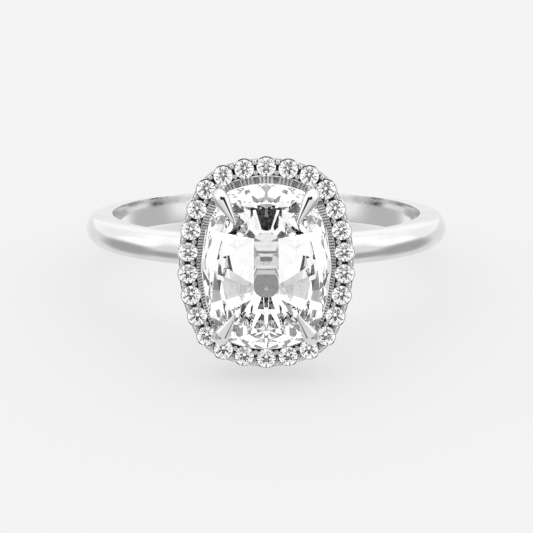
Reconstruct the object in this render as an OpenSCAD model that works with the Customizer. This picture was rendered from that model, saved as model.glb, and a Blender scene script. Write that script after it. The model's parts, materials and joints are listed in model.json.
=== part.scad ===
// Halo ring: a plain round shank carries a raised basket with one cushion-cut stone, held by four long
// claws, and a cushion-shaped halo of small round stones around it.
//
// Two frames are used, both in millimetres.
// Head frame: the finger's centre is the origin, +Z points out through the centre stone's table, and +Y
// runs along the finger. The metal and the stones are modelled here.
// Part frame: the ring lies on its side as it rests by itself, on the halo's lower rim and on the back
// of the shank. +Z is up, the stone looks towards -Y, and the origin is under the middle of the ring.

/* [Finger] */
// Inner radius of the shank
finger_r = 8.25; // [7:0.05:10.5]

/* [Shank] */
// Width of the shank at the finger
shank_w = 1.66; // [1.5:0.02:2.4]
// Width of the shank where its flat sides end and the dome begins
dome_w = 1.4; // [1.2:0.02:2]
// Thickness of the flat sides, measured away from the finger
side_t = 1.12; // [0.8:0.02:1.6]
// Rise of the dome above the flat sides
dome_rise = 0.35; // [0.2:0.01:0.5]

/* [Centre stone] */
// Width of the cushion, across the finger
stone_w = 6.55; // [6:0.05:8]
// Length of the cushion, along the finger
stone_l = 8.4; // [7.6:0.05:9.5]
// Radius of the cushion's long sides
side_r = 7.25; // [6.6:0.05:9]
// Radius of the cushion's short ends
end_r = 4.75; // [4.4:0.05:6]
// Radius of the cushion's corners
corner_r = 1.35; // [1:0.05:1.8]
// Height of the stone's girdle above the centre of the finger
stone_z = 13.1; // [12.8:0.05:14]
// Height of the crown above the girdle
crown_h = 0.92; // [0.8:0.02:0.96]
// Depth of the pavilion below the girdle
pavilion_h = 3.06; // [2.7:0.02:3.2]
// Thickness of the girdle at its thinnest
girdle_t = 0.12; // [0.08:0.01:0.2]
// Half width of the table, across the finger
table_x = 2.58; // [2.3:0.02:2.7]
// Half length of the table, along the finger
table_y = 3.12; // [2.8:0.02:3.3]
// Place of the table's corners, across the finger
corner_x = 1.97; // [1.8:0.01:2.1]
// Place of the table's corners, along the finger
corner_y = 2.73; // [2.5:0.01:2.9]
// Length of the keel under the pavilion
keel_l = 2.14; // [1.6:0.02:2.4]
// How far the facets at the corners are moved along the girdle, away from the short ends
corner_shift = -0.16; // [-0.3:0.02:0.1]
// How far the star facets reach down the crown
star_share = 0.65; // [0.5:0.01:0.7]
// How far the lower halves reach down the pavilion
half_share = 0.88; // [0.75:0.01:0.9]
// Where the pavilion's last tier of facets begins, as a share of the way to the keel
culet_share = 0.81; // [0.75:0.01:0.9]
// How much lower than the pavilion mains that last tier lies at the keel, as a share of its own height
culet_cut = 0.84; // [0.7:0.01:0.95]

/* [Halo] */
// Height of the halo stones' girdles above the centre of the finger
halo_z = 12.05; // [11.7:0.05:12.3]
// Distance from the centre stone's edge to the line through the halo stones
halo_gap = 0.705; // [0.6:0.005:0.9]
// Distance from one halo stone to the next along that line
pitch = 1.11; // [1.08:0.01:1.3]
// Diameter of a halo stone
melee_d = 0.96; // [0.86:0.01:0.98]
// Height of a halo stone's crown, as a share of its diameter
crown_share = 0.15; // [0.12:0.01:0.17]
// Thickness of a halo stone's girdle, as a share of its diameter
girdle_share = 0.03; // [0.02:0.005:0.05]
// Depth of a halo stone's pavilion, as a share of its diameter
pavilion_share = 0.43; // [0.4:0.01:0.45]
// Width of a halo stone's table, as a share of its diameter
table_share = 0.56; // [0.52:0.01:0.62]
// Metal around a halo stone at the scalloped edge
rim_t = 0.075; // [0.06:0.005:0.09]
// Half width of the frame on its outer side, between the scallops
frame_out = 0.46; // [0.42:0.01:0.5]
// Half width of the frame on its inner side, to the end of the sloping ledge
frame_in = 0.9; // [0.7:0.02:1]
// Drop of the sloping ledge towards the centre stone
ledge_drop = 0.32; // [0.2:0.02:0.4]
// Height of the frame's upright outer wall
wall_h = 0.36; // [0.3:0.02:0.5]
// Height of the whole frame
frame_h = 0.86; // [0.8:0.02:1]
// How far the outer wall closes in below its upright part
wall_in = 0.22; // [0.1:0.02:0.3]
// Radius of the hole drilled behind a halo stone, as a share of the stone's radius
drill_share = 0.3; // [0.2:0.05:0.4]
// Radius of the beads between the halo stones
bead_r = 0.13; // [0.11:0.005:0.15]
// Distance of the beads from the line through the halo stones
bead_off = 0.27; // [0.24:0.01:0.3]
// Height of the beads' middles above the frame
bead_up = 0.02; // [0:0.01:0.05]

/* [Basket and claws] */
// Radius of the posts, and of a claw where it bends over the stone
post_r = 0.4; // [0.34:0.01:0.44]
// Distance from the stone's corner out to the axis of its post
post_off = 0.06; // [0:0.01:0.12]
// Radius of the bend at the top of a post
bend_r = 0.5; // [0.46:0.01:0.6]
// Height of the bend's start above the stone's girdle
bend_z = 0.02; // [0:0.02:0.1]
// Angle that a claw turns through, from upright to lying over the crown
claw_turn = 62; // [56:1:64]
// Direction of a claw over the crown, seen from above and counted from straight across the finger
claw_aim = 60; // [54:1:62]
// Length of a claw's taper, from the bend to its tip
claw_l = 1.35; // [1.2:0.05:1.5]
// Radius of a claw's tip
tip_r = 0.08; // [0.06:0.01:0.12]
// How much the ball where an arm meets its post is larger than the post
joint_out = 0.02; // [0.02:0.01:0.06]
// Radius of the four arms between the shank and the posts
arm_r = 0.36; // [0.3:0.01:0.4]
// Distance of the arms' feet from the middle of the shank, across the finger
foot_x = 0.5; // [0.4:0.05:0.8]
// Distance of the arms' feet from the middle of the shank, along the finger
foot_y = 0.32; // [0.2:0.02:0.4]

/* [Fit] */
// Gap between a stone and its metal seat
seat_gap = 0.025; // [0.02:0.005:0.05]

/* [Hidden] */
$fn = 48;
// Edge of the cubes that stand for half spaces, larger than any stone
far = 40;
// Corners of the polygon that stands for the cushion's outline
outline_n = 96;
// Longest straight piece of the halo frame
frame_step = 0.45;

// Sizes of the shank, from the finger outwards
side_out = finger_r + side_t;
shank_out = side_out + dome_rise;
dome_r = (pow(dome_w / 2, 2) + pow(dome_rise, 2)) / (2 * dome_rise);

// The cushion's outline is made of eight arcs. Their centres stay where they are when the outline grows.
side_c = [stone_w / 2 - side_r, 0];
end_c = [0, stone_l / 2 - end_r];
corner_c = meet(side_c, side_r - corner_r, end_c, end_r - corner_r);
side_a = atan2(corner_c.y - side_c.y, corner_c.x - side_c.x);
end_a = atan2(corner_c.y - end_c.y, corner_c.x - end_c.x);
corner_a = (side_a + end_a) / 2;

// Halo stones, spaced evenly along their line
path = outline(halo_gap);
path_l = total(path);
stone_count = 2 * round(path_l / pitch / 2);
step = path_l / stone_count;
melee_r = melee_d / 2;
collar_r = melee_r + rim_t;
melee_crown = crown_share * melee_d;
melee_girdle = girdle_share * melee_d;
melee_pavilion = pavilion_share * melee_d;
melee_table = table_share * melee_r;

// Resting pose: the floor touches the back edge of the halo's wall and one edge of the shank
halo_low = stone_l / 2 + halo_gap + collar_r;
halo_back = halo_z - wall_h;
shank_edges = [[side_out, dome_w / 2], [finger_r, shank_w / 2]];
tilt = min([for (e = shank_edges) atan2(halo_low - e.y, halo_back + e.x)]);
lift = halo_low * cos(tilt) - halo_back * sin(tilt);
table_z = stone_z + crown_h;
front = table_z * cos(tilt) + table_y * sin(tilt);
back = (shank_out - dome_r) * cos(tilt) + dome_r;
slide = (front - back) / 2;

melee_names = [for (i = [1:stone_count]) str("halo_stone_", i < 10 ? "0" : "", i)];

// The point left of the line from a to b that lies at distance ra from a and rb from b
function meet(a, ra, b, rb) =
    let (
        d = norm(b - a),
        u = (b - a) / d,
        along = (ra * ra - rb * rb + d * d) / (2 * d),
        aside = sqrt(ra * ra - along * along)
    )
    a + along * u + aside * [-u.y, u.x];

// Arcs of the cushion grown by g, clockwise from the middle of the far end: centre, radius, first and
// last angle
function outline(g) = [
    [end_c, end_r + g, 90, end_a],
    [corner_c, corner_r + g, end_a, side_a],
    [side_c, side_r + g, side_a, -side_a],
    [[corner_c.x, -corner_c.y], corner_r + g, -side_a, -end_a],
    [-end_c, end_r + g, -end_a, end_a - 180],
    [-corner_c, corner_r + g, end_a - 180, side_a - 180],
    [-side_c, side_r + g, side_a - 180, -side_a - 180],
    [[-corner_c.x, corner_c.y], corner_r + g, -side_a - 180, -end_a - 180],
    [end_c, end_r + g, -end_a - 180, -270],
];
function arc_l(a) = a[1] * (a[2] - a[3]) * PI / 180;
function total(arcs, i = 0) = i == len(arcs) ? 0 : arc_l(arcs[i]) + total(arcs, i + 1);

// Place at distance s along the arcs: x, y and the direction that looks outwards
function along(arcs, s, i = 0) =
    s > arc_l(arcs[i]) && i < len(arcs) - 1
    ? along(arcs, s - arc_l(arcs[i]), i + 1)
    : let (
        a = arcs[i][2] - s / arcs[i][1] * 180 / PI,
        p = arcs[i][0] + arcs[i][1] * [cos(a), sin(a)]
    )
    [p.x, p.y, a];

// From the head frame to the part frame
module as_it_rests() {
    translate([0, slide, lift])
        rotate([-tilt, 0, 0])
            rotate([90, 0, 0])
                children();
}

// Carries its children to the place at distance s along the line through the halo stones
module on_halo(s, out = 0) {
    p = along(path, s);
    translate([p.x, p.y, halo_z])
        rotate([0, 0, p[2]])
            translate([out, 0, 0])
                children();
}

// The shank's section: straight inside, flat sides that close in a little, and a domed outside
module shank_section() {
    slope = (shank_w - dome_w) / 2 / side_t;
    over_w = dome_w / 2 - slope * 2 * dome_rise;
    difference() {
        polygon([
            [finger_r, -shank_w / 2],
            [side_out + 2 * dome_rise, -over_w],
            [side_out + 2 * dome_rise, over_w],
            [finger_r, shank_w / 2],
        ]);
        difference() {
            translate([side_out, -dome_w])
                square([4 * dome_rise, 2 * dome_w]);
            translate([shank_out - dome_r, 0])
                circle(r = dome_r);
        }
    }
}

// The shank stands round the finger's axis, which is Y in the head frame
module shank() {
    rotate([90, 0, 0])
        rotate_extrude($fn = 96)
            shank_section();
}

// The halo frame is one section taken round the cushion, in short straight pieces. In the section x runs
// across the frame from the line through the stones, and y is the height.
module halo_frame() {
    section = [
        [-melee_r, 0],
        [frame_out, 0],
        [frame_out, -wall_h],
        [frame_out - wall_in, -frame_h],
        [-frame_in, -frame_h],
        [-frame_in, -ledge_drop],
    ];
    places = [
        for (a = path)
            let (pieces = ceil(arc_l(a) / frame_step))
            for (i = [0:pieces - 1])
                [a[0], a[1], a[2] + (a[3] - a[2]) * i / pieces]
    ];
    corners = len(section);
    points = [
        for (p = places, q = section)
            concat(p[0] + (p[1] + q.x) * [cos(p[2]), sin(p[2])], halo_z + q.y)
    ];
    faces = [
        for (i = [0:len(places) - 1], j = [0:corners - 1])
            let (
                here = i * corners,
                next = (i + 1) % len(places) * corners,
                k = (j + 1) % corners
            )
            [here + j, here + k, next + k, next + j]
    ];
    polyhedron(points, faces);
}

// A collar stands out round each stone and gives the frame its scalloped edge
module collar() {
    translate([0, 0, -wall_h])
        cylinder(r = collar_r, h = wall_h);
    translate([0, 0, -frame_h])
        cylinder(r1 = collar_r - wall_in, r2 = collar_r, h = frame_h - wall_h);
}

// A small ball of metal that holds the stones on both sides of it
module bead() {
    translate([0, 0, bead_up])
        sphere(r = bead_r, $fn = 24);
}

// What is cut away for a halo stone: its own cone shape with a gap, and a drilled hole to the back
module melee_seat() {
    top = melee_girdle / 2 + melee_crown + seat_gap;
    low = melee_girdle / 2 + seat_gap / 2;
    translate([0, 0, low])
        cylinder(r1 = melee_r + seat_gap, r2 = melee_table + seat_gap, h = top - low);
    translate([0, 0, -low])
        cylinder(r = melee_r + seat_gap, h = 2 * low);
    translate([0, 0, -low - melee_pavilion])
        cylinder(r1 = seat_gap, r2 = melee_r + seat_gap, h = melee_pavilion);
    translate([0, 0, -2 * frame_h])
        cylinder(r = drill_share * melee_r, h = 2 * frame_h);
}

// One arm, post and claw, at the corner that lies at +X and +Y
module prong() {
    corner = corner_c + (corner_r + post_off) * [cos(corner_a), sin(corner_a)];
    post_low = halo_z - frame_h + arm_r / 2;
    post_top = stone_z + bend_z;
    foot = [foot_x, foot_y, side_out];
    arm = [corner.x, corner.y, post_low] - foot;
    // arm
    translate(foot)
        rotate([0, acos(arm.z / norm(arm)), atan2(arm.y, arm.x)])
            cylinder(r = arm_r, h = norm(arm));
    translate(foot)
        sphere(r = arm_r);
    // post, with a ball where the arm meets it
    translate([corner.x, corner.y, post_low])
        sphere(r = post_r + joint_out);
    translate([corner.x, corner.y, post_low])
        cylinder(r = post_r, h = post_top - post_low);
    // bend and claw
    translate([corner.x, corner.y, post_top])
        rotate([0, 0, claw_aim + 180])
            translate([bend_r, 0, 0])
                rotate([90, 0, 0]) {
                    rotate([0, 0, 180 - claw_turn])
                        rotate_extrude(angle = claw_turn)
                            translate([bend_r, 0])
                                circle(r = post_r);
                    rotate([0, 0, 180 - claw_turn])
                        translate([bend_r, 0, 0])
                            rotate([90, 0, 0]) {
                                cylinder(r1 = post_r, r2 = tip_r, h = claw_l);
                                translate([0, 0, claw_l])
                                    sphere(r = tip_r, $fn = 24);
                            }
                }
}

// Half space under the plane through three points, moved outwards by a gap. The stone's middle lies in it.
module under(p, q, r, gap = 0) {
    n0 = cross(q - p, r - p);
    n = (n0 * p > 0 ? 1 : -1) * n0 / norm(n0);
    translate(p + gap * n)
        rotate([0, acos(n.z), atan2(n.y, n.x)])
            translate([-far / 2, -far / 2, -far])
                cube([far, far, far]);
}

// Where the planes through the points a and b, with normals na and nb, meet at height z
function crossing(a, na, b, nb, z) =
    let (
        ra = na * a - na.z * z,
        rb = nb * b - nb.z * z,
        det = na.x * nb.y - na.y * nb.x
    )
    [(ra * nb.y - rb * na.y) / det, (na.x * rb - nb.x * ra) / det, z];

// Normal of the main facet that touches the girdle at m, in the direction m[2], and runs to the point t
function main_normal(m, z, t) =
    let (
        out = [cos(m[2]), sin(m[2]), 0],
        reach = (t - [m.x, m.y, z]) * out,
        rise = t.z - z
    )
    sign(rise) * [rise * out.x, rise * out.y, -reach];

// Facets of one half of a brilliant: eight mains, and two facets beside each place between the mains.
// m and n are the girdle's places under and between the mains, t the points where the mains end, z the
// girdle's height there, and share says how far the facets between the mains reach.
function mains(m, z, t) = [
    for (i = [0:7])
        let (p = [m[i].x, m[i].y, z])
        [p, p + [-sin(m[i][2]), cos(m[i][2]), 0], t[i]]
];
function tips(m, z, t, share) = [
    for (i = [0:7])
        let (j = (i + 1) % 8)
        crossing(
            [m[i].x, m[i].y, z], main_normal(m[i], z, t[i]),
            [m[j].x, m[j].y, z], main_normal(m[j], z, t[j]),
            z + share * (t[i].z - z)
        )
];
function halves(m, n, z, tip) = [
    for (i = [0:7], side = [0, 1])
        let (k = m[(i + side) % 8])
        [[k.x, k.y, z], [n[i].x, n[i].y, z], tip[i]]
];

// A brilliant cut: table, stars, crown mains, upper and lower halves and pavilion mains
module brilliant(m, n, table, keel, top, girdle, low, culets = [], gap = 0) {
    g = girdle / 2;
    t = [for (p = table) [p.x, p.y, top]];
    k = [for (p = keel) [p.x, p.y, -low]];
    up = tips(m, g, t, star_share);
    down = tips(m, -g, k, half_share);
    stars = [for (i = [0:7]) [t[i], t[(i + 1) % 8], up[i]]];
    crown = concat([[t[0], t[2], t[4]]], stars, mains(m, g, t), halves(m, n, g, up));
    pavilion = concat(mains(m, -g, k), halves(m, n, -g, down), culets);
    intersection_for (f = concat(crown, pavilion))
        under(f[0], f[1], f[2], gap);
}

// The centre stone: a brilliant on the cushion's outline. A keel takes the place of the culet, and a
// last, flatter tier of facets closes the pavilion round it.
module cushion_stone(gap = 0) {
    arcs = outline(0);
    quarter = total(arcs) / 4;
    corner_s = arc_l(arcs[0]) + arc_l(arcs[1]) / 2 + corner_shift;
    at = [for (q = [0, 2]) for (s = [0, corner_s, quarter, 2 * quarter - corner_s]) q * quarter + s];
    between = [for (i = [0:7]) (at[i] + (i < 7 ? at[i + 1] : 4 * quarter)) / 2];
    m = [for (s = at) along(arcs, s)];
    quadrant = [[0, table_y], [corner_x, corner_y], [table_x, 0], [corner_x, -corner_y]];
    ends = [1, 1, 0, -1];
    keel = [for (side = [1, -1]) for (e = ends) [0, side * e * keel_l / 2]];
    culet_z = -pavilion_h * (1 - culet_cut * (1 - culet_share));
    culets = [
        for (i = [0:7])
            let (
                start = [m[i].x, m[i].y, -girdle_t / 2],
                turn = start + culet_share * ([keel[i].x, keel[i].y, -pavilion_h] - start)
            )
            [turn, turn + [-sin(m[i][2]), cos(m[i][2]), 0], [keel[i].x, keel[i].y, culet_z]]
    ];
    grown = outline(gap);
    intersection() {
        brilliant(
            m = m,
            n = [for (s = between) along(arcs, s)],
            table = concat(quadrant, -quadrant),
            keel = keel,
            top = crown_h,
            girdle = girdle_t,
            low = pavilion_h,
            culets = culets,
            gap = gap
        );
        translate([0, 0, -2 * pavilion_h])
            linear_extrude(4 * pavilion_h)
                polygon([
                    for (i = [0:outline_n - 1])
                        let (p = along(grown, i / outline_n * total(grown)))
                        [p.x, p.y]
                ]);
    }
}

// A halo stone: a round brilliant
module round_stone() {
    at = [for (i = [0:7]) 90 - 45 * i];
    intersection() {
        brilliant(
            m = [for (a = at) [melee_r * cos(a), melee_r * sin(a), a]],
            n = [for (a = at) melee_r * [cos(a - 22.5), sin(a - 22.5)]],
            table = [for (a = at) melee_table * [cos(a), sin(a)]],
            keel = [for (a = at) [0, 0]],
            top = melee_girdle / 2 + melee_crown,
            girdle = melee_girdle,
            low = melee_girdle / 2 + melee_pavilion
        );
        cylinder(r = melee_r, h = 4 * melee_r, center = true);
    }
}

// Draws its children at all four corners
module in_quarters() {
    for (x = [0, 1], y = [0, 1])
        mirror([x, 0, 0])
            mirror([0, y, 0])
                children();
}

// All the metal, soldered into one solid, with the stones' seats cut into it
module ring_metal() {
    color([0.86, 0.87, 0.88])
        difference() {
            union() {
                shank();
                halo_frame();
                in_quarters()
                    prong();
                for (i = [0:stone_count - 1]) {
                    on_halo(i * step)
                        collar();
                    for (side = [-1, 1])
                        on_halo((i + 0.5) * step, side * bead_off)
                            bead();
                }
            }
            for (i = [0:stone_count - 1])
                on_halo(i * step)
                    melee_seat();
            translate([0, 0, stone_z])
                cushion_stone(seat_gap);
        }
}

module center_stone() {
    color([0.93, 0.96, 0.98])
        translate([0, 0, stone_z])
            cushion_stone();
}

module halo_stone(i) {
    color([0.9, 0.94, 0.97])
        on_halo(i * step)
            round_stone();
}

as_it_rests() ring_metal();
as_it_rests() center_stone();
for (i = [0:stone_count - 1])
    as_it_rests() halo_stone(i);
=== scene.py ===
import bpy
import bmesh
import json
from math import atan2, ceil, cos, degrees, hypot, pi, radians, sin, sqrt
from mathutils import Matrix, Vector


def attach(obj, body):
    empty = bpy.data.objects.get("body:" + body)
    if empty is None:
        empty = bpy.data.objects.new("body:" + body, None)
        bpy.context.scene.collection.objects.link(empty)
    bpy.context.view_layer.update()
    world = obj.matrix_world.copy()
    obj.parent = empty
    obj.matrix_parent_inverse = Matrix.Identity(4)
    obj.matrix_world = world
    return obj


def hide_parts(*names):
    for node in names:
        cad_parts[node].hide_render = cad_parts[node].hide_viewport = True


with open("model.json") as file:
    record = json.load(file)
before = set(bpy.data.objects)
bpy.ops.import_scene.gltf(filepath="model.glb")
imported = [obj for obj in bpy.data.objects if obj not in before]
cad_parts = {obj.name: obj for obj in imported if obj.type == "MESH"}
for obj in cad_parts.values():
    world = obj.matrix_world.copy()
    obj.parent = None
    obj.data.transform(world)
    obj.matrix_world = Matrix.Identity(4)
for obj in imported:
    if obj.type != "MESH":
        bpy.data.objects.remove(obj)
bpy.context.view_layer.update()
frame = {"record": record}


# The ring as it lies. The real ring rests on its side, on the halo's rim and the back of the shank. Its
# pieces are made in millimetres with the finger's centre as origin, Z out through the centre stone and Y
# along the finger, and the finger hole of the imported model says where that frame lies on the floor.
mm = 0.001
# Points that are closer than this are one point.
touching = 1e-4
# Places of two of the finishes in the list that each metal piece has: the milled one, matt and painted
# darker as shade, and the burnished one, satin and painted paler as light. The first in the list is the
# polished one.
milled_shaded, burnished_lit = 1, 2
hole = frame["record"]["mounts"][0]
finger = Vector(hole["axis"]).normalized()
out = Vector((0, -finger.z, finger.y))
as_it_lies = Matrix.Translation(hole["pos_m"]) @ Matrix((
    (mm, 0, 0, 0),
    (0, mm * finger.y, mm * out.y, 0),
    (0, mm * finger.z, mm * out.z, 0),
    (0, 0, 0, 1),
))


def as_object(name, bm):
    mesh = bpy.data.meshes.new(name)
    bm.to_mesh(mesh)
    bm.free()
    thing = bpy.data.objects.new(name, mesh)
    bpy.context.scene.collection.objects.link(thing)
    return thing


def as_piece(name, bm, slot, replaced, *finishes):
    """Lays a finished mesh where the ring lies, gives it its finishes, hangs it on the root body and hides
    the imported part that it stands in for.
    """
    bmesh.ops.transform(bm, matrix=as_it_lies, verts=bm.verts)
    piece = as_object(name, bm)
    for finish in finishes:
        piece.data.materials.append(finish)
    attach(piece, "root")
    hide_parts(replaced)
    return piece


def metal_piece(name, bm, smooth_to=35):
    """A piece of the metal, shaded smooth over edges of up to smooth_to degrees."""
    bmesh.ops.remove_doubles(bm, verts=bm.verts, dist=touching)
    bmesh.ops.recalc_face_normals(bm, faces=bm.faces)
    piece = as_piece(name, bm, "white_gold", "ring_metal", white_gold, milled_shaded_gold, burnished_lit_gold)
    piece.data.shade_smooth()
    piece.data.set_sharp_from_angle(angle=radians(smooth_to))
    # The stones let light pass, and of all the metal they show only these two.
    piece.visible_transmission = name in ("shank", "basket_arms")


# Polished white gold. A buffing wheel leaves hair-fine lines that run every way and a faint orange peel,
# which together blur a reflection by a little. Both patterns are counted per metre.
hair_scale, peel_scale = (9000, 1400, 9000), 700
noise_low, noise_high = 0.3, 0.7
unevenness, bump_depth = 0.4, 0.00001


def noise(nodes, scale, detail):
    grain = nodes.new("ShaderNodeTexNoise")
    grain.inputs["Scale"].default_value = scale
    grain.inputs["Detail"].default_value = detail
    return grain


def ranged(nodes, low, high):
    """Stretches the values between low and high to the whole range."""
    stretched = nodes.new("ShaderNodeMapRange")
    stretched.inputs["From Min"].default_value = low
    stretched.inputs["From Max"].default_value = high
    return stretched


def two_colours(nodes, first, second):
    mix = nodes.new("ShaderNodeMix")
    mix.data_type = "RGBA"
    mix.inputs["A"].default_value = (*first, 1)
    mix.inputs["B"].default_value = (*second, 1)
    return mix


def polish_group():
    """Roughness, shade and normal of a buffed surface, from how rough and how deep its marks are."""
    group = bpy.data.node_groups.new("hand polish", "ShaderNodeTree")
    for name in ("Rough", "Depth"):
        group.interface.new_socket(name, in_out="INPUT", socket_type="NodeSocketFloat")
    for name, kind in (("Roughness", "Float"), ("Shade", "Float"), ("Normal", "Vector")):
        group.interface.new_socket(name, in_out="OUTPUT", socket_type="NodeSocket" + kind)
    nodes, link = group.nodes, group.links.new
    given, put = nodes.new("NodeGroupInput"), nodes.new("NodeGroupOutput")
    at = nodes.new("ShaderNodeTexCoord")
    stretch = nodes.new("ShaderNodeMapping")
    stretch.inputs["Scale"].default_value = hair_scale
    link(at.outputs["Object"], stretch.inputs["Vector"])
    hairs = noise(nodes, 1, 3)
    link(stretch.outputs[0], hairs.inputs["Vector"])
    peel = noise(nodes, peel_scale, 2)
    link(at.outputs["Object"], peel.inputs["Vector"])
    rough = ranged(nodes, noise_low, noise_high)
    link(hairs.outputs["Fac"], rough.inputs["Value"])
    for end, share in (("To Min", 1 - unevenness), ("To Max", 1 + unevenness)):
        times = nodes.new("ShaderNodeMath")
        times.operation = "MULTIPLY"
        times.inputs[1].default_value = share
        link(given.outputs["Rough"], times.inputs[0])
        link(times.outputs[0], rough.inputs[end])
    link(rough.outputs["Result"], put.inputs["Roughness"])
    shade = ranged(nodes, noise_low, noise_high)
    link(peel.outputs["Fac"], shade.inputs["Value"])
    link(shade.outputs["Result"], put.inputs["Shade"])
    both = nodes.new("ShaderNodeMath")
    both.operation = "ADD"
    link(hairs.outputs["Fac"], both.inputs[0])
    link(peel.outputs["Fac"], both.inputs[1])
    bump = nodes.new("ShaderNodeBump")
    bump.inputs["Distance"].default_value = bump_depth
    link(given.outputs["Depth"], bump.inputs["Strength"])
    link(both.outputs[0], bump.inputs["Height"])
    link(bump.outputs["Normal"], put.inputs["Normal"])
    return group


polish = polish_group()


def new_material(name, values):
    """A material with plain values on its shader's own sockets."""
    m = bpy.data.materials.new(name)
    m.use_nodes = True
    for socket, value in values.items():
        m.node_tree.nodes["Principled BSDF"].inputs[socket].default_value = value
    return m


def gold(name, rough, depth, dark, light):
    m = new_material(name, {"Metallic": 1})
    nodes, link = m.node_tree.nodes, m.node_tree.links.new
    skin = nodes["Principled BSDF"].inputs
    buffed = nodes.new("ShaderNodeGroup")
    buffed.node_tree = polish
    buffed.inputs["Rough"].default_value = rough
    buffed.inputs["Depth"].default_value = depth
    alloy = two_colours(nodes, dark, light)
    link(buffed.outputs["Shade"], alloy.inputs["Factor"])
    link(alloy.outputs["Result"], skin["Base Color"])
    link(buffed.outputs["Roughness"], skin["Roughness"])
    link(buffed.outputs["Normal"], skin["Normal"])
    return m


white_gold = gold("polished white gold", 0.04, 0.04, (0.61, 0.61, 0.615), (0.67, 0.67, 0.67))
# The ledge between the stones is only milled. No wheel reaches it, so it stays matt. Its colour is also
# painted darker, as shade in the recess between and under the stones.
milled_shaded_gold = gold("milled white gold with painted shade", 0.35, 0.3, (0.26, 0.26, 0.265), (0.42, 0.42, 0.42))
# The finger's side of the band and the ribs on the ledge are burnished by hand, which leaves them satin.
# Their colour is also painted paler, as light: the lit backs of the ribs against the shaded ledge, and light
# on the band's inner side.
burnished_lit_gold = gold("burnished white gold with painted light", 0.12, 0.02, (0.8, 0.8, 0.805), (0.84, 0.84, 0.84))


# Shank: a round band drawn from one wire, flat on both sides and domed outside, with its edges only just
# broken by the polish. It is turned here as one full spin of its section.
finger_r = 8.25
shank_w, dome_w = 1.66, 1.4
side_t, dome_rise = 1.12, 0.35
dome_edge, bore_edge = 0.09, 0.07
dome_steps, band_steps = 20, 288
side_out, shank_out = finger_r + side_t, finger_r + side_t + dome_rise
dome_r = ((dome_w / 2) ** 2 + dome_rise ** 2) / (2 * dome_rise)
dome_half = atan2(dome_w / 2, side_out - shank_out + dome_r)


def soften(bm, corners, width, segments):
    """Rounds some corners of a flat section."""
    bmesh.ops.bevel(bm, geom=corners, offset=width, offset_type="OFFSET", segments=segments, profile=0.5,
                    affect="VERTICES", material=-1)


band = bmesh.new()
start = band.verts.new((side_out, dome_w / 2, 0))
bmesh.ops.spin(band, geom=[start], cent=(shank_out - dome_r, 0, 0), axis=(0, 0, 1),
               angle=-2 * dome_half, steps=dome_steps, use_merge=False)
inside = [band.verts.new((finger_r, side * shank_w / 2, 0)) for side in (-1, 1)]
band.verts.ensure_lookup_table()
last = min(band.verts[:dome_steps + 1], key=lambda v: v.co.y)
band.edges.new((last, inside[0]))
band.edges.new(inside)
band.edges.new((inside[1], start))
bmesh.ops.contextual_create(band, geom=band.edges[:])
soften(band, [start, last], dome_edge, 5)
soften(band, [v for v in band.verts if v.co.x < finger_r + touching], bore_edge, 4)
bmesh.ops.delete(band, geom=band.faces[:], context="FACES_ONLY")
bmesh.ops.spin(band, geom=band.edges[:], cent=(0, 0, 0), axis=(0, 1, 0), angle=2 * pi, steps=band_steps,
               use_merge=True)
# The finger's side of the band gets the burnished finish: satin, and painted paler as light.
for face in band.faces:
    if all(hypot(v.co.x, v.co.z) < finger_r + touching for v in face.verts):
        face.material_index = burnished_lit
metal_piece("shank", band)


# Halo frame: one cast rim that follows the cushion, with an upright outer wall, a flat top for the small
# stones and a ledge that slopes down to the centre stone. A collar stands out round each small stone, and
# its upper edge is filed round.
stone_w, stone_l = 6.55, 8.4
side_r, end_r, corner_r = 7.25, 4.75, 1.35
halo_z, halo_gap, pitch = 12.05, 0.705, 1.11
melee_r, melee_girdle, rim_t = 0.48, 0.06, 0.075
frame_out, frame_in, ledge_drop = 0.46, 0.9, 0.32
wall_h, frame_h, wall_in = 0.36, 0.86, 0.22
frame_step = 0.06
edge_r, edge_share = 0.05, 0.3
seat_gap, drill_share, cone_share = 0.025, 0.3, 0.62
# How far up the ledge faces, as the height of its normal
ledge_least, ledge_most = 0.6, 0.9

# The cushion's corner is an arc that touches its side's arc and its end's arc from within.
side_c, end_c = Vector((stone_w / 2 - side_r, 0)), Vector((0, stone_l / 2 - end_r))
between = end_c - side_c
from_side, from_end, apart = side_r - corner_r, end_r - corner_r, between.length
along_it = (from_side * from_side - from_end * from_end + apart * apart) / (2 * apart)
u = between / apart
corner_c = side_c + along_it * u + sqrt(from_side * from_side - along_it * along_it) * Vector((-u.y, u.x))
side_a = atan2(corner_c.y - side_c.y, corner_c.x - side_c.x)
end_a = atan2(corner_c.y - end_c.y, corner_c.x - end_c.x)


def cushion(grow):
    """The cushion's arcs, clockwise from the middle of its far end: centre, radius, first and last angle."""
    x, y = corner_c
    turns = [pi / 2, end_a, side_a, -side_a, -end_a, end_a - pi, side_a - pi, -side_a - pi, -end_a - pi,
             -1.5 * pi]
    centres = [end_c, corner_c, side_c, Vector((x, -y)), -end_c, -corner_c, -side_c, Vector((-x, y)), end_c]
    radii = [end_r, corner_r, side_r, corner_r] * 2 + [end_r]
    return [(c, r + grow, a, b) for c, r, a, b in zip(centres, radii, turns, turns[1:])]


def length(arc):
    return arc[1] * (arc[2] - arc[3])


def along(arcs, s):
    """The point at distance s along the arcs, and the angle of its outward direction."""
    rounding = 1e-9
    s %= sum(length(a) for a in arcs)
    for arc in arcs:
        if s <= length(arc) + rounding:
            break
        s -= length(arc)
    c, r, a, _ = arc
    a -= s / r
    return Vector((c.x + r * cos(a), c.y + r * sin(a))), a


path = cushion(halo_gap)
path_l = sum(length(a) for a in path)
stone_count = 2 * round(path_l / pitch / 2)
step = path_l / stone_count


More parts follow.
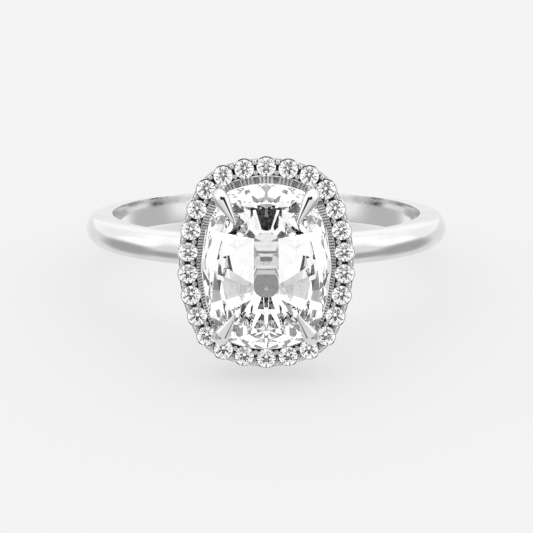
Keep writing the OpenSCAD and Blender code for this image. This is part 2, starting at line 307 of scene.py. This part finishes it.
def on_halo(s, x=0, z=0):
    """The place at distance s along the line through the halo stones, with X outwards, as a matrix."""
    p, a = along(path, s)
    here = Matrix.Translation((p.x, p.y, halo_z)) @ Matrix.Rotation(a, 4, "Z")
    return here @ Matrix.Translation((x, 0, z))


def only(kind, geometry):
    """The vertices or the edges among what an operator gives back."""
    return [part for part in geometry if isinstance(part, kind)]


def round_the_cushion(section):
    """Sweeps a closed section round the whole cushion. A corner of it is its place across the frame, its
    height and the width of its rounding."""
    bm = bmesh.new()
    corners = [bm.verts.new((x, 0, z)) for x, z, _ in section]
    bm.faces.new(corners)
    for corner, (_, _, width) in zip(corners, section):
        soften(bm, [corner], width, 3)
    bmesh.ops.delete(bm, geom=bm.faces[:], context="FACES_ONLY")
    bmesh.ops.transform(bm, matrix=on_halo(0), verts=bm.verts)
    ring = bm.edges[:]
    for c, r, a, b in path:
        made = bmesh.ops.spin(bm, geom=ring, cent=(c.x, c.y, 0), axis=(0, 0, 1), angle=b - a,
                              steps=ceil(r * (a - b) / frame_step), use_merge=False)
        ring = only(bmesh.types.BMEdge, made["geom_last"])
    bmesh.ops.remove_doubles(bm, verts=bm.verts, dist=touching)
    bmesh.ops.recalc_face_normals(bm, faces=bm.faces)
    return bm


def shaped(thing, *cuts):
    """The mesh of thing after each (operation, tool) of cuts. All the objects are then gone."""
    for how, tool in cuts:
        m = thing.modifiers.new(how, "BOOLEAN")
        m.operation, m.object, m.solver = how, tool, "EXACT"
    bpy.context.view_layer.update()
    mesh = bpy.data.meshes.new_from_object(thing.evaluated_get(bpy.context.evaluated_depsgraph_get()))
    bm = bmesh.new()
    bm.from_mesh(mesh)
    for o in [thing] + [tool for _, tool in cuts]:
        bpy.data.objects.remove(o)
    return bm


def repeated(make, matrices):
    bm = bmesh.new()
    for m in matrices:
        make(bm, m)
    bmesh.ops.recalc_face_normals(bm, faces=bm.faces)
    return bm


def extruded(bm, ring):
    """Extrudes a ring of edges where it is. Gives the new vertices and the new ring."""
    made = bmesh.ops.extrude_edge_only(bm, edges=ring)["geom"]
    verts = only(bmesh.types.BMVert, made)
    return verts, [e for e in only(bmesh.types.BMEdge, made) if all(v in verts for v in e.verts)]


def turned(bm, place, profile, segments=40):
    """A closed body turned round Z from a profile of radii and heights, lowest first."""
    first = len(bm.verts)
    low_r, low_z = profile[0]
    circle = bmesh.ops.create_circle(bm, cap_ends=True, segments=segments, radius=low_r)["verts"]
    ring = list(dict.fromkeys(e for v in circle for e in v.link_edges))
    bm.verts.ensure_lookup_table()
    bmesh.ops.translate(bm, vec=(0, 0, low_z), verts=bm.verts[first:])
    for (r0, z0), (r1, z1) in zip(profile, profile[1:]):
        verts, ring = extruded(bm, ring)
        bmesh.ops.scale(bm, vec=(r1 / r0, r1 / r0, 1), verts=verts)
        bmesh.ops.translate(bm, vec=(0, 0, z1 - z0), verts=verts)
    bmesh.ops.contextual_create(bm, geom=ring)
    bm.verts.ensure_lookup_table()
    bmesh.ops.transform(bm, matrix=place, verts=bm.verts[first:])


def collar(bm, place):
    rim_r = melee_r + rim_t
    turned(bm, place, [
        (rim_r - wall_in, -frame_h), (rim_r, -wall_h), (rim_r, -edge_r),
        (rim_r - edge_share * edge_r, -edge_share * edge_r), (rim_r - edge_r, 0),
    ])


def seat(bm, place):
    wide, drill = melee_r + seat_gap, drill_share * melee_r
    low = melee_girdle / 2 * melee_r + seat_gap / 2
    turned(bm, place, [
        (drill, -2 * frame_h), (drill, -low - cone_share * melee_r), (wide, -low), (wide, frame_h),
    ])


rim = as_object("rim", round_the_cushion([
    (-melee_r, 0, 0.04),
    (frame_out, 0, 0.16),
    (frame_out, -wall_h, 0.03),
    (frame_out - wall_in, -frame_h, 0.05),
    (-frame_in, -frame_h, 0.05),
    (-frame_in, -ledge_drop, 0.03),
]))
places = [on_halo(i * step) for i in range(stone_count)]
# Neighbouring collars overlap, so every other one is joined at a time.
odd, even = (as_object("collars", repeated(collar, places[offset::2])) for offset in (0, 1))
seats = as_object("seats", repeated(seat, places))
cast = shaped(rim, ("UNION", odd), ("UNION", even), ("DIFFERENCE", seats))
cast.normal_update()
# The sloping faces of the ledge get the milled finish: matt, and painted darker as shade in the recess.
for face in cast.faces:
    if ledge_least < face.normal.z < ledge_most and face.calc_center_median().z < halo_z - edge_r:
        face.material_index = milled_shaded
metal_piece("halo_frame", cast, smooth_to=25)


# Beads: a graver lifts two small balls of metal between each pair of stones, and a burnisher rounds them
# over the stones' edges.
bead_r, bead_off, bead_up = 0.13, 0.27, 0.02


def bead(bm, place):
    bmesh.ops.create_uvsphere(bm, u_segments=16, v_segments=10, radius=bead_r, matrix=place)


metal_piece("beads", repeated(bead, [
    on_halo((i + 0.5) * step, side * bead_off, bead_up) for i in range(stone_count) for side in (-1, 1)
]))


# Ledge cuts: upright flutes milled into the sloping ledge, fine ones along the sides and wider ones round
# the two ends, so that it sparkles beside the centre stone. The ribs left between them have round backs.
rib_run = frame_in - melee_r
rib_l = hypot(rib_run, ledge_drop)
side_ribs, end_ribs = 7, 4
end_spread, rib_share = 0.78, 0.62
ends_from = stone_l / 3
lying = Matrix.Rotation(pi / 2, 4, "Y")
slope = Matrix.Rotation(-atan2(ledge_drop, rib_run), 4, "Y")
ledge = Matrix.Translation((-melee_r - rib_run / 2, 0, -ledge_drop / 2)) @ slope


def rib(bm, place, width):
    first = len(bm.verts)
    bmesh.ops.create_cone(bm, cap_ends=True, segments=12, radius1=width / 2, radius2=width / 2, depth=rib_l)
    bm.verts.ensure_lookup_table()
    bmesh.ops.transform(bm, matrix=place @ lying, verts=bm.verts[first:])


ribs = bmesh.new()
for i in range(stone_count):
    at_end = abs(along(path, i * step)[0].y) > ends_from
    count, spread = (end_ribs, end_spread) if at_end else (side_ribs, 1)
    for j in range(count):
        s = (i + ((j + 0.5) / count - 0.5) * spread) * step
        rib(ribs, on_halo(s) @ ledge, rib_share * spread * step / count)
# The ribs get the burnished finish: satin, and painted paler as highlights against the shaded ledge.
for face in ribs.faces:
    face.material_index = burnished_lit
metal_piece("ledge_ribs", ribs)


# Centre stone: one cushion brilliant, clear and colourless. It is sawn to the cushion's outline, and a lap
# then grinds its facets one by one: the table, eight stars, and a crown and a pavilion of eight mains with
# two halves between each pair. A last, flatter tier closes the pavilion round a short keel.
stone_z = 13.1
crown_h, pavilion_h, girdle_t = 0.92, 3.06, 0.12
table_x, table_y, corner_x, corner_y, keel_l = 2.58, 3.12, 1.97, 2.73, 2.14
star_share, half_share, corner_shift = 0.65, 0.88, -0.16
culet_share, culet_cut = 0.81, 0.84
mains, outline_points = 8, 96


def ground(bm, p, q, r):
    """Grinds a new facet through three points: all outside it goes, and the facet is closed."""
    normal = (q - p).cross(r - p)
    if normal.dot(p) < 0:
        normal.negate()
    bmesh.ops.bisect_plane(bm, geom=bm.verts[:] + bm.edges[:] + bm.faces[:], dist=1e-6, plane_co=p,
                           plane_no=normal, clear_outer=True)
    bmesh.ops.contextual_create(bm, geom=[e for e in bm.edges if e.is_boundary])


def main_normal(m, a, z, t):
    """Normal of the main facet that touches the girdle at m, faces the way of the angle a and ends at t."""
    outward, rise = Vector((cos(a), sin(a), 0)), t.z - z
    normal = Vector((rise * outward.x, rise * outward.y, (Vector((m.x, m.y, z)) - t).dot(outward)))
    return normal if rise > 0 else -normal


def tip_between(p, np, q, nq, z):
    """Where the mains through p and q, with normals np and nq, meet at height z."""
    rp, rq = np.dot(p) - np.z * z, nq.dot(q) - nq.z * z
    det = np.x * nq.y - np.y * nq.x
    return Vector(((rp * nq.y - rq * np.y) / det, (np.x * rq - nq.x * rp) / det, z))


def brilliant(bm, girdle, between, table, keel, top, thick, low):
    """Cuts a brilliant from a rough that has the outline already. girdle and between hold points and their
    outward angles, table and keel the points where the mains end."""
    for z, ends, reach, share in ((thick / 2, table, top, star_share), (-thick / 2, keel, -low, half_share)):
        touch = [Vector((p.x, p.y, z)) for p, _ in girdle]
        ends = [Vector((p.x, p.y, reach)) for p in ends]
        normals = [main_normal(p, a, z, t) for (p, a), t in zip(girdle, ends)]
        tips = []
        for i in range(mains):
            j = (i + 1) % mains
            tips.append(tip_between(touch[i], normals[i], touch[j], normals[j], z + share * (ends[i].z - z)))
        if z > 0:
            ground(bm, ends[0], ends[2], ends[4])
            for i in range(mains):
                ground(bm, ends[i], ends[(i + 1) % mains], tips[i])
        for (p, a), at, end in zip(girdle, touch, ends):
            ground(bm, at, at + Vector((-sin(a), cos(a), 0)), end)
        for i in range(mains):
            for j in (i, (i + 1) % mains):
                ground(bm, touch[j], Vector((*between[i][0], z)), tips[i])


def culet_tier(bm, girdle, keel):
    deep = -pavilion_h * (1 - culet_cut * (1 - culet_share))
    for (p, a), k in zip(girdle, keel):
        edge = Vector((p.x, p.y, -girdle_t / 2))
        turn = edge.lerp(Vector((k.x, k.y, -pavilion_h)), culet_share)
        ground(bm, turn, turn + Vector((-sin(a), cos(a), 0)), Vector((k.x, k.y, deep)))


def cushion_stone():
    arcs = cushion(0)
    quarter = sum(length(a) for a in arcs) / 4
    corner_s = length(arcs[0]) + length(arcs[1]) / 2 + corner_shift
    at = [q * quarter + s for q in (0, 2) for s in (0, corner_s, quarter, 2 * quarter - corner_s)]
    halfway = [(a + b) / 2 for a, b in zip(at, at[1:] + [4 * quarter])]
    quadrant = [Vector(p) for p in ((0, table_y), (corner_x, corner_y), (table_x, 0), (corner_x, -corner_y))]
    bm = bmesh.new()
    sawn = bm.faces.new([
        bm.verts.new((*along(arcs, i / (outline_points / 4) * quarter)[0], -pavilion_h))
        for i in range(outline_points)
    ])
    up = bmesh.ops.extrude_face_region(bm, geom=[sawn])["geom"]
    bmesh.ops.translate(bm, vec=(0, 0, pavilion_h + 2 * crown_h), verts=only(bmesh.types.BMVert, up))
    bmesh.ops.recalc_face_normals(bm, faces=bm.faces)
    girdle = [along(arcs, s) for s in at]
    keel = [Vector((0, side * end * keel_l / 2)) for side in (1, -1) for end in (1, 1, 0, -1)]
    brilliant(bm, girdle, [along(arcs, s) for s in halfway], quadrant + [-p for p in quadrant], keel,
              crown_h, girdle_t, pavilion_h)
    culet_tier(bm, girdle, keel)
    bmesh.ops.translate(bm, vec=(0, 0, stone_z), verts=bm.verts)
    bmesh.ops.recalc_face_normals(bm, faces=bm.faces)
    return bm


def clear_stone(name, tint):
    """A clear stone that bends light as a diamond does, with its faint tint in clouds."""
    m = new_material(name, {"Transmission Weight": 1, "IOR": 2.42, "Roughness": 0})
    nodes, link = m.node_tree.nodes, m.node_tree.links.new
    cloud = noise(nodes, 900, 2)
    at = nodes.new("ShaderNodeTexCoord")
    link(at.outputs["Object"], cloud.inputs["Vector"])
    pale = two_colours(nodes, tint, (1, 1, 1))
    link(cloud.outputs["Fac"], pale.inputs["Factor"])
    link(pale.outputs["Result"], nodes["Principled BSDF"].inputs["Base Color"])
    return m


center_gem = clear_stone("clear centre stone", (0.985, 0.995, 0.985))
as_piece("centre_stone", cushion_stone(), "center_gem", "center_stone", center_gem)


# Halo stones: small round brilliants, all alike, each in its own drilled seat. Their table, crown and
# pavilion are shares of the stone's radius, as is the girdle given above.
melee_table, melee_crown, melee_pavilion = 0.56, 0.3, 0.86


def on_girdle(a):
    return melee_r * Vector((cos(a), sin(a))), a


def round_stone(place):
    rays = [pi / 2 - i * pi / 4 for i in range(mains)]
    girdle = [on_girdle(a) for a in rays]
    halfway = [on_girdle(a - pi / 8) for a in rays]
    bm = bmesh.new()
    thick, up, down = melee_girdle * melee_r, melee_crown * melee_r, melee_pavilion * melee_r
    bmesh.ops.create_cone(bm, cap_ends=True, segments=48, radius1=melee_r, radius2=melee_r,
                          depth=3 * melee_r)
    brilliant(bm, girdle, halfway, [melee_table * p for p, _ in girdle], [Vector((0, 0))] * mains,
              thick / 2 + up, thick, thick / 2 + down)
    bmesh.ops.transform(bm, matrix=place, verts=bm.verts)
    bmesh.ops.recalc_face_normals(bm, faces=bm.faces)
    return bm


halo_gem = clear_stone("clear halo stone", (0.985, 0.99, 0.99))
for i, place in enumerate(places):
    as_piece(f"small_stone_{i + 1:02d}", round_stone(place), "halo_gem", f"halo_stone_{i + 1:02d}", halo_gem)


# Claws, posts and arms: four wires rise from the shank under the halo, and each ends in a long pointed
# claw that is bent over a corner of the centre stone and filed to a sharp tip.
post_r, post_off = 0.4, 0.06
bend_r, bend_z, claw_turn, claw_aim = 0.5, 0.02, radians(62), radians(60)
claw_l, tip_r, tip_over, tip_share = 1.35, 0.08, 0.04, 0.5
bend_steps, taper_steps = 14, 16
arm_r, joint_out, foot = 0.36, 0.02, Vector((0.5, 0.32, side_out))
bed_scale = 1.006
corner_a = (side_a + end_a) / 2
post = corner_c + (corner_r + post_off) * Vector((cos(corner_a), sin(corner_a)))
post_low = halo_z - frame_h + arm_r / 2
post_top = stone_z + bend_z


def claw(mirror):
    """An upright post that bends over the stone and tapers to its tip."""
    bm = bmesh.new()
    bmesh.ops.create_circle(bm, cap_ends=True, segments=32, radius=post_r)
    put = Matrix.Translation((post.x, post.y, post_low)) @ Matrix.Rotation(claw_aim + pi, 4, "Z")
    bmesh.ops.transform(bm, matrix=put, verts=bm.verts)

    def carried(ring, matrix):
        verts, ring = extruded(bm, ring)
        bmesh.ops.transform(bm, matrix=matrix, verts=verts)
        return ring

    ring = carried(bm.edges[:], Matrix.Translation((0, 0, post_top - post_low)))
    inward = put.to_3x3() @ Vector((1, 0, 0))
    across = put.to_3x3() @ Vector((0, 1, 0))
    pivot = Vector((post.x, post.y, post_top)) + bend_r * inward
    bent = bmesh.ops.spin(bm, geom=ring, cent=pivot, axis=across, angle=claw_turn, steps=bend_steps,
                          use_merge=False)
    ring = only(bmesh.types.BMEdge, bent["geom_last"])
    turn = Matrix.Rotation(claw_turn, 3, across)
    shift = turn @ Vector((0, 0, 1)) * (claw_l + tip_over) / taper_steps
    middle = pivot - turn @ (bend_r * inward)
    radii = [post_r + (tip_r - post_r) * (i / taper_steps) for i in range(taper_steps)] + [tip_share * tip_r]
    for radius, wanted in zip(radii, radii[1:]):
        taper = Matrix.Scale(wanted / radius, 4)
        ring = carried(ring, Matrix.Translation(middle + shift) @ taper @ Matrix.Translation(-middle))
        middle = middle + shift
    bmesh.ops.contextual_create(bm, geom=ring)
    bmesh.ops.scale(bm, vec=mirror, verts=bm.verts)
    bmesh.ops.recalc_face_normals(bm, faces=bm.faces)
    return bm


def ball(r, z, first, last):
    """Radii and heights of a ball's outline, from one angle off its lowest point to another, in degrees."""
    return [(r * sin(radians(a)), z - r * cos(radians(a))) for a in range(first, last, 12)]


def arm(mirror):
    """A straight wire with round ends, from its foot on the shank up to the foot of a post."""
    way = Vector((post.x, post.y, post_low)) - foot
    outline = ball(arm_r, 0, 6, 91) + ball(post_r + joint_out, way.length, 66, 175)
    bm = bmesh.new()
    turned(bm, Matrix.Translation(foot) @ way.to_track_quat("Z", "Y").to_matrix().to_4x4(), outline, 32)
    bmesh.ops.scale(bm, vec=mirror, verts=bm.verts)
    bmesh.ops.recalc_face_normals(bm, faces=bm.faces)
    return bm


# The claws are filed to lie on the stone, so a very slightly larger stone is cut away from them.
bed = cushion_stone()
bmesh.ops.transform(bed, verts=bed.verts, matrix=Matrix.Translation((0, 0, stone_z))
                    @ Matrix.Scale(bed_scale, 4) @ Matrix.Translation((0, 0, -stone_z)))
quarters = [(x, y, 1) for x in (1, -1) for y in (1, -1)]
for name, mirror in zip(("claw_right_far", "claw_right_near", "claw_left_far", "claw_left_near"), quarters):
    rough_claw = as_object("rough_claw", claw(mirror))
    metal_piece(name, shaped(rough_claw, ("DIFFERENCE", as_object("bed", bed.copy()))), smooth_to=40)
bed.free()
arms = [as_object("arm", arm(mirror)) for mirror in quarters]
metal_piece("basket_arms", shaped(arms[0], *(("UNION", a) for a in arms[1:])))


# Studio: a pale matt table lit from below, and a bright tent all round it with a dark opening for the
# camera. Polished metal and cut stones need that for their greys and blacks.
table_half, table_grey, table_glow = 6, 0.28, 0.575
sheet = bmesh.new()
bmesh.ops.create_grid(sheet, x_segments=2, y_segments=2, size=table_half)
floor = as_object("floor", sheet)
floor.data.materials.append(new_material("pale matt table", {
    "Roughness": 0.9,
    "Specular IOR Level": 0,
    "Base Color": (table_grey, table_grey, table_grey, 1),
    "Emission Color": (1, 1, 1, 1),
    "Emission Strength": table_glow,
}))
floor.visible_glossy = False
floor.visible_transmission = False

# The camera looks at the middle of the finger's hole, from a little above the centre stone's axis. Where
# that middle lies in the photograph and how long the lens is are in the photograph's pixels.
above_axis = radians(8.79)
tilt = atan2(finger.y, finger.z)
distance, sensor_mm = 0.2, 36
focal_px, photo_px = 3718, 533
middle_px = Vector((266.2, 226.55))
height = above_axis + tilt
camera = bpy.data.objects.new("camera", bpy.data.cameras.new("camera"))
bpy.context.scene.collection.objects.link(camera)
bpy.context.scene.camera = camera
camera.data.sensor_width = sensor_mm
camera.data.lens = focal_px / photo_px * sensor_mm
camera.data.clip_start = 0.01
camera.location = Vector(hole["pos_m"]) + distance * Vector((0, -cos(height), sin(height)))
down = atan2(middle_px.y - photo_px / 2, focal_px)
aside = atan2(middle_px.x - photo_px / 2, focal_px)
camera.rotation_euler = (pi / 2 - height + down, 0, aside)

world = bpy.data.worlds.new("studio tent")
bpy.context.scene.world = world
world.use_nodes = True
tent_nodes, tent_link = world.node_tree.nodes, world.node_tree.links.new
direction = tent_nodes.new("ShaderNodeTexCoord")


def heading(azimuth, elevation):
    """A direction: azimuth 0 is towards the viewer and 90 to the right, in degrees."""
    a, e = radians(azimuth), radians(elevation)
    return Vector((sin(a) * cos(e), -cos(a) * cos(e), sin(e)))


def card(light, way, inner, outer, brightness):
    """Sets the brightness within a cone of directions, with a soft edge between two angles."""
    face = tent_nodes.new("ShaderNodeVectorMath")
    face.operation = "DOT_PRODUCT"
    face.inputs[1].default_value = way
    tent_link(direction.outputs["Generated"], face.inputs[0])
    edge = ranged(tent_nodes, cos(radians(outer)), cos(radians(inner)))
    edge.interpolation_type = "SMOOTHSTEP"
    tent_link(face.outputs["Value"], edge.inputs["Value"])
    blend = tent_nodes.new("ShaderNodeMix")
    blend.data_type = "FLOAT"
    tent_link(edge.outputs["Result"], blend.inputs["Factor"])
    if isinstance(light, float):
        blend.inputs["A"].default_value = light
    else:
        tent_link(light, blend.inputs["A"])
    blend.inputs["B"].default_value = brightness
    return blend.outputs["Result"]


def tent(front, back, top, below, *cards):
    """The tent's brightness on its four parts, and then each card that stands in it: the way to the card,
    the two angles of its soft edge and its brightness."""
    light = front
    for way, inner, outer, brightness in (
        (heading(180, 0), 84, 107, back),
        (heading(0, 90), 37, 72, top),
        (heading(0, -90), 87, 93, below),
        *cards,
    ):
        light = card(light, way, inner, outer, brightness)
    return light


def pair(azimuth, elevation, *edge_and_brightness):
    """The same card on the right and on the left."""
    return [(heading(side * azimuth, elevation), *edge_and_brightness) for side in (1, -1)]


# What the metal mirrors: a lamp at each side with two grey flags below it, the black hood round the lens,
# and four black cards that draw a dark line along each claw.
mirrored = tent(
    1.1, 1.29, 1.57, 1.02,
    *pair(97, 19, 10, 25, 1.6),
    *pair(98, -19, 12, 33, 0.55),
    *pair(64, -28, 7, 23, 0.55),
    (heading(0, degrees(tilt)), 13, 24, 0.02),
    *pair(25, 56, 16, 24, 0.03),
    *pair(41, -38, 8, 15, 0.03),
)
# What is seen through the stones: dark flags at the sides, the black lens, small grey and black cards
# round it, two lamps low in front, and the setting and the finger, which keep light off the stones' backs.
seen_through = tent(
    1.35, 1.45, 1.6, 1.25,
    *pair(66, 1, 10, 16, 0.18),
    (heading(0, 22.5), 14, 18, 0.01),
    *pair(20, 48, 7, 12, 0.35),
    *pair(40, 12, 7, 12, 0.03),
    *pair(10, 3, 4, 8, 0.03),
    (heading(60, -24), 11, 17, 0.03),
    (heading(-60, 21), 11, 17, 0.03),
    *pair(10, -33, 11, 17, 1.8),
    (-heading(0, degrees(tilt)), 86, 90, 0.16),
)
ray = tent_nodes.new("ShaderNodeLightPath")
by_ray = tent_nodes.new("ShaderNodeMix")
by_ray.data_type = "FLOAT"
tent_link(ray.outputs["Is Transmission Ray"], by_ray.inputs["Factor"])
tent_link(mirrored, by_ray.inputs["A"])
tent_link(seen_through, by_ray.inputs["B"])
tent_nodes["Background"].inputs["Color"].default_value = (1, 1, 1, 1)
tent_link(by_ray.outputs["Result"], tent_nodes["Background"].inputs["Strength"])

# Light meets many facets on its way through a stone, so it may turn more often than usual.
bounces = 24
scene = bpy.context.scene
scene.view_settings.view_transform = "Standard"
scene.cycles.max_bounces = bounces
scene.cycles.glossy_bounces = bounces
scene.cycles.transmission_bounces = bounces

bpy.context.view_layer.update()
